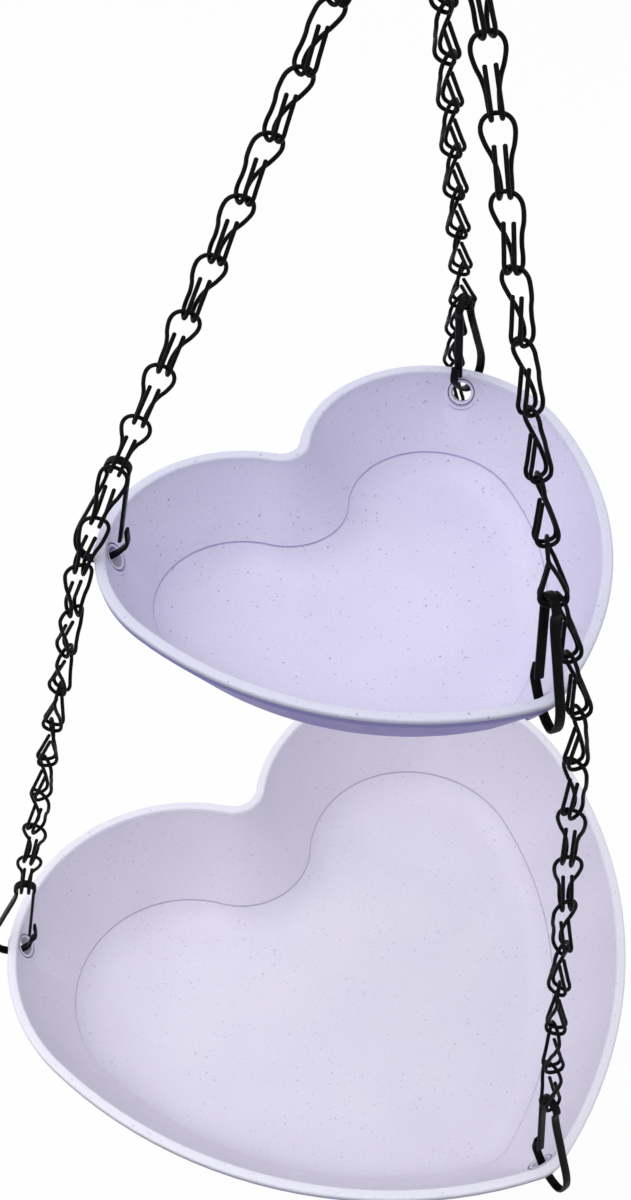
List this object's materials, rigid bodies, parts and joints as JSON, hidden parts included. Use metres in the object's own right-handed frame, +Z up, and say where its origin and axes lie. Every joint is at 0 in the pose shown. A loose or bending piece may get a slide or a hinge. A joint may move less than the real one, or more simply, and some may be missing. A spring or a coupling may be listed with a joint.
{
  "type": "hanging bird table",
  "caption": "Two-tier hanging bird table: heart-shaped dishes on strands of bent-wire chain with spring clips, a ring and an S-hook.",
  "frame": {"origin": "the point inside the crown of the top hook that bears on its support", "axes": "+Z up along the hang axis, tips of both hearts along -Y, +X to the right seen from the tip"},
  "size_m": [0.2986, 0.2642, 0.6567],
  "materials": {
    "dish_plastic": "satin moulded plastic, pale lilac with fine dark specks",
    "coated_wire": "black coating on bent steel wire"
  },
  "bodies": {
    "hook": {"top_hook": "coated_wire"},
    "ring": {"top_ring": "coated_wire"},
    "upper_tier": {"upper_dish": "dish_plastic", "upper_chain_left": "coated_wire", "upper_chain_right": "coated_wire", "upper_chain_tip": "coated_wire", "upper_clip_left": "coated_wire", "upper_clip_right": "coated_wire", "upper_clip_tip": "coated_wire", "lower_left_link_01": "coated_wire", "lower_left_link_02": "coated_wire", "lower_right_link_01": "coated_wire", "lower_right_link_02": "coated_wire", "lower_tip_link_01": "coated_wire", "lower_tip_link_02": "coated_wire"},
    "upper_left_gate": {"upper_gate_left": "coated_wire"},
    "upper_right_gate": {"upper_gate_right": "coated_wire"},
    "upper_tip_gate": {"upper_gate_tip": "coated_wire"},
    "lower_left_gate": {"lower_gate_left": "coated_wire"},
    "lower_right_gate": {"lower_gate_right": "coated_wire"},
    "lower_tip_gate": {"lower_gate_tip": "coated_wire"},
    "left_bend_link": {"lower_left_link_03": "coated_wire"},
    "left_run": {"lower_left_link_04": "coated_wire", "lower_left_link_05": "coated_wire", "lower_left_link_06": "coated_wire", "lower_left_link_07": "coated_wire", "lower_left_link_08": "coated_wire", "lower_left_link_09": "coated_wire", "lower_left_link_10": "coated_wire", "lower_left_link_11": "coated_wire", "lower_clip_left": "coated_wire"},
    "right_bend_link": {"lower_right_link_03": "coated_wire"},
    "right_run": {"lower_right_link_04": "coated_wire", "lower_right_link_05": "coated_wire", "lower_right_link_06": "coated_wire", "lower_right_link_07": "coated_wire", "lower_right_link_08": "coated_wire", "lower_right_link_09": "coated_wire", "lower_right_link_10": "coated_wire", "lower_right_link_11": "coated_wire", "lower_clip_right": "coated_wire"},
    "tip_bend_link": {"lower_tip_link_03": "coated_wire"},
    "tip_run": {"lower_tip_link_04": "coated_wire", "lower_tip_link_05": "coated_wire", "lower_tip_link_06": "coated_wire", "lower_tip_link_07": "coated_wire", "lower_tip_link_08": "coated_wire", "lower_tip_link_09": "coated_wire", "lower_tip_link_10": "coated_wire", "lower_tip_link_11": "coated_wire"},
    "tip_clip": {"lower_clip_tip": "coated_wire"},
    "lower_tray": {"lower_dish": "dish_plastic"}
  },
  "joints": [
    {"name": "ring_swing", "type": "hinge", "parent": "hook", "child": "ring", "pos_m": [0, 0, -0.0417], "axis": [1, 0, 0], "range_deg": [-25, 25]},
    {"name": "tier_swing", "type": "hinge", "parent": "ring", "child": "upper_tier", "pos_m": [0, 0, -0.0596], "axis": [0, 1, 0], "range_deg": [-25, 25]},
    {"name": "lower_sway_fore", "type": "hinge", "parent": "upper_tier", "child": "tip_bend_link", "pos_m": [0.00751, -0.10148, -0.34746], "axis": [1, 0, 0], "range_deg": [-6, 6]},
    {"name": "lower_sway_side", "type": "hinge", "parent": "tip_bend_link", "child": "tip_run", "pos_m": [0.00668, -0.10504, -0.37111], "axis": [0, 1, 0], "range_deg": [-6, 6]},
    {"name": "tip_clip_turn", "type": "hinge", "parent": "tip_run", "child": "tip_clip", "pos_m": [0, -0.13382, -0.56225], "axis": [0, 1, 0], "range_deg": [-9, 9]},
    {"name": "lower_tray_tilt", "type": "hinge", "parent": "tip_clip", "child": "lower_tray", "pos_m": [0, -0.13882, -0.60985], "axis": [1, 0, 0], "range_deg": [-9, 9]},
    {"name": "left_bend_turn", "type": "hinge", "parent": "upper_tier", "child": "left_bend_link", "pos_m": [-0.09702, 0.05163, -0.34751], "axis": [1, 0, 0], "range_deg": [-9, 9]},
    {"name": "left_run_turn", "type": "hinge", "parent": "left_bend_link", "child": "left_run", "pos_m": [-0.09997, 0.05448, -0.37115], "axis": [0, 1, 0], "range_deg": [-9, 9]},
    {"name": "right_bend_turn", "type": "hinge", "parent": "upper_tier", "child": "right_bend_link", "pos_m": [0.08908, 0.06442, -0.34749], "axis": [1, 0, 0], "range_deg": [-9, 9]},
    {"name": "right_run_turn", "type": "hinge", "parent": "right_bend_link", "child": "right_run", "pos_m": [0.09291, 0.06587, -0.37114], "axis": [0, 1, 0], "range_deg": [-9, 9]},
    {"name": "upper_left_gate_flex", "type": "hinge", "parent": "upper_tier", "child": "upper_left_gate", "pos_m": [-0.0784, 0.04609, -0.30901], "axis": [0.7424, 0.67, 0], "range_deg": [0, 10], "stiffness_Nm_per_rad": 0.02},
    {"name": "upper_right_gate_flex", "type": "hinge", "parent": "upper_tier", "child": "upper_right_gate", "pos_m": [0.07591, 0.05008, -0.30901], "axis": [0.2745, -0.9616, 0], "range_deg": [0, 10], "stiffness_Nm_per_rad": 0.02},
    {"name": "upper_tip_gate_flex", "type": "hinge", "parent": "upper_tier", "child": "upper_tip_gate", "pos_m": [0.00235, -0.08262, -0.30901], "axis": [-0.9613, 0.2756, 0], "range_deg": [0, 10], "stiffness_Nm_per_rad": 0.02},
    {"name": "lower_left_gate_flex", "type": "hinge", "parent": "left_run", "child": "lower_left_gate", "pos_m": [-0.12084, 0.07565, -0.56627], "axis": [0.5306, 0.8476, 0], "range_deg": [0, 10], "stiffness_Nm_per_rad": 0.02},
    {"name": "lower_right_gate_flex", "type": "hinge", "parent": "right_run", "child": "lower_right_gate", "pos_m": [0.12084, 0.07565, -0.56627], "axis": [0.5306, -0.8476, 0], "range_deg": [0, 10], "stiffness_Nm_per_rad": 0.02},
    {"name": "lower_tip_gate_flex", "type": "hinge", "parent": "tip_clip", "child": "lower_tip_gate", "pos_m": [0, -0.1303, -0.56627], "axis": [-1, 0, 0], "range_deg": [0, 10], "stiffness_Nm_per_rad": 0.02}
  ],
  "couplings": [
    {"joint": "tip_clip_turn", "follows": "lower_sway_side", "ratio": -0.796},
    {"joint": "lower_tray_tilt", "follows": "lower_sway_fore", "ratio": -0.7287},
    {"joint": "left_bend_turn", "follows": "lower_sway_fore", "ratio": 0.9912},
    {"joint": "left_run_turn", "follows": "lower_sway_side", "ratio": 0.8713},
    {"joint": "right_bend_turn", "follows": "lower_sway_fore", "ratio": 1.0086},
    {"joint": "right_run_turn", "follows": "lower_sway_side", "ratio": 0.8094}
  ]
}
